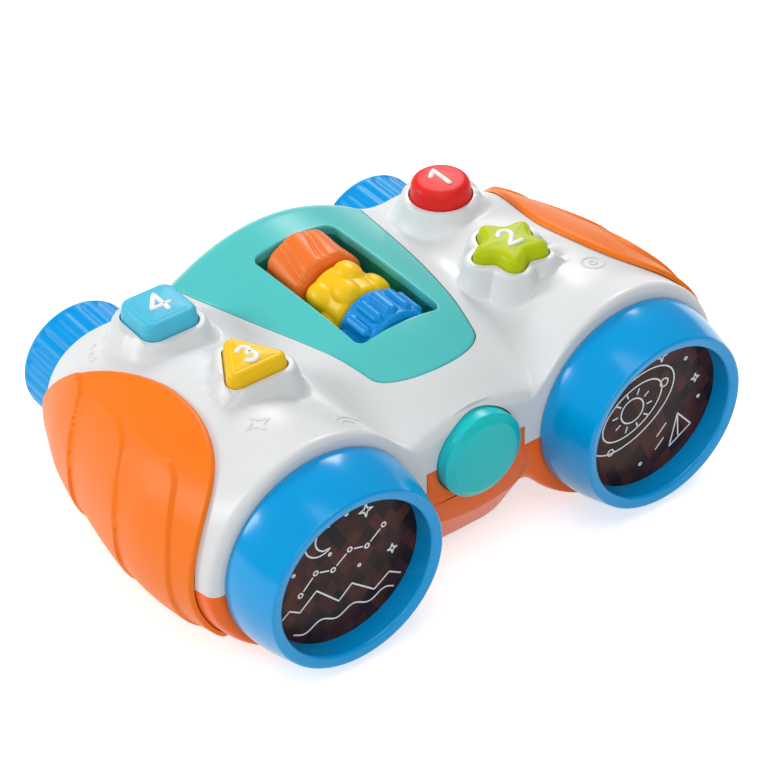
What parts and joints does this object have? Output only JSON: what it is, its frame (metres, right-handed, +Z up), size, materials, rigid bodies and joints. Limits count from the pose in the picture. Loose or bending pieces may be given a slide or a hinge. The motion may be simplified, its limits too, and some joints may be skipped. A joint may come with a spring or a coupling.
{
  "type": "toy binoculars",
  "caption": "Chunky child's toy binoculars with side grips, an arched panel of finger rollers, shaped push buttons, wide lens rims and ribbed eyepieces.",
  "frame": {"origin": "centre of the bounding box's base, on the surface the toy rests on", "axes": "X across both barrels, the lenses face -Y and the eyepieces +Y, Z up"},
  "size_m": [0.2008, 0.154, 0.0712],
  "materials": {
    "white_shell": "satin",
    "orange_shell": "satin",
    "orange_grip": "satin",
    "teal": "satin",
    "dark_teal": "satin",
    "blue": "gloss",
    "roller_orange": "satin",
    "yellow": "satin",
    "red": "gloss",
    "green": "gloss",
    "light_blue": "gloss",
    "printed_lens": "dark tint with a white line print",
    "black": "satin",
    "mirror_foil": "polished",
    "clear": "polished",
    "steel": "plain",
    "board": "solder mask",
    "battery": "printed sleeve, bare of text",
    "light": "diffuse"
  },
  "bodies": {
    "housing": {"top_shell": "white_shell", "bottom_shell": "orange_shell", "left_grip": "orange_grip", "right_grip": "orange_grip", "top_panel": "teal", "roller_tray": "dark_teal", "roller_axle": "steel", "round_button_spring": "steel", "star_button_spring": "steel", "triangle_button_spring": "steel", "square_button_spring": "steel", "front_button_spring": "steel", "left_button_board": "board", "right_button_board": "board", "front_switch_board": "board", "push_switches": "black", "board_screws": "steel", "left_rim": "blue", "right_rim": "blue", "left_lens": "printed_lens", "right_lens": "printed_lens", "left_lens_ring": "black", "right_lens_ring": "black", "left_mirror_tunnel": "mirror_foil", "right_mirror_tunnel": "mirror_foil", "lights": "light", "speaker": "black", "battery_box": "black", "batteries": "battery", "battery_contacts": "steel", "main_board": "board", "slide_switch": "black", "case_screws": "steel"},
    "ridged_roller": {"ridged_roller": "roller_orange"},
    "lobed_roller": {"lobed_roller": "yellow"},
    "ribbed_roller": {"ribbed_roller": "blue"},
    "round_button": {"round_button": "red"},
    "star_button": {"star_button": "green"},
    "triangle_button": {"triangle_button": "yellow"},
    "square_button": {"square_button": "light_blue"},
    "front_button": {"front_button": "teal"},
    "power_knob": {"power_knob": "black"},
    "battery_door": {"battery_door": "orange_shell", "door_screw": "steel"},
    "left_eyepiece": {"left_eyepiece": "blue", "left_eye_lens": "clear"},
    "right_eyepiece": {"right_eyepiece": "blue", "right_eye_lens": "clear"}
  },
  "joints": [
    {"name": "ridged_roller_spin", "type": "hinge", "parent": "housing", "child": "ridged_roller", "pos_m": [0, 0.0243, 0.0555], "axis": [0, 1, 0], "continuous": true},
    {"name": "lobed_roller_spin", "type": "hinge", "parent": "housing", "child": "lobed_roller", "pos_m": [0, 0.0053, 0.0555], "axis": [0, 1, 0], "continuous": true},
    {"name": "ribbed_roller_spin", "type": "hinge", "parent": "housing", "child": "ribbed_roller", "pos_m": [0, -0.0125, 0.0555], "axis": [0, 1, 0], "continuous": true},
    {"name": "round_button_push", "type": "slide", "parent": "housing", "child": "round_button", "axis": [0, 0, -1], "range_m": [0, 0.0025], "stiffness_N_per_m": 300, "springref_m": -0.002, "deforming": ["round_button_spring"]},
    {"name": "star_button_push", "type": "slide", "parent": "housing", "child": "star_button", "axis": [0, 0, -1], "range_m": [0, 0.0025], "stiffness_N_per_m": 300, "springref_m": -0.002, "deforming": ["star_button_spring"]},
    {"name": "triangle_button_push", "type": "slide", "parent": "housing", "child": "triangle_button", "axis": [0, 0, -1], "range_m": [0, 0.0025], "stiffness_N_per_m": 300, "springref_m": -0.002, "deforming": ["triangle_button_spring"]},
    {"name": "square_button_push", "type": "slide", "parent": "housing", "child": "square_button", "axis": [0, 0, -1], "range_m": [0, 0.0025], "stiffness_N_per_m": 300, "springref_m": -0.002, "deforming": ["square_button_spring"]},
    {"name": "front_button_push", "type": "slide", "parent": "housing", "child": "front_button", "axis": [0, 1, 0], "range_m": [0, 0.0025], "stiffness_N_per_m": 300, "springref_m": -0.002, "deforming": ["front_button_spring"]},
    {"name": "power_slide", "type": "slide", "parent": "housing", "child": "power_knob", "axis": [1, 0, 0], "range_m": [0, 0.004]},
    {"name": "battery_door_lift", "type": "slide", "parent": "housing", "child": "battery_door", "axis": [0, 0, -1], "range_m": [0, 0.012]},
    {"name": "left_eyepiece_turn", "type": "hinge", "parent": "housing", "child": "left_eyepiece", "pos_m": [-0.057, 0.06685, 0.0212], "axis": [0, 1, 0], "continuous": true},
    {"name": "right_eyepiece_turn", "type": "hinge", "parent": "housing", "child": "right_eyepiece", "pos_m": [0.057, 0.06685, 0.0212], "axis": [0, 1, 0], "continuous": true}
  ]
}
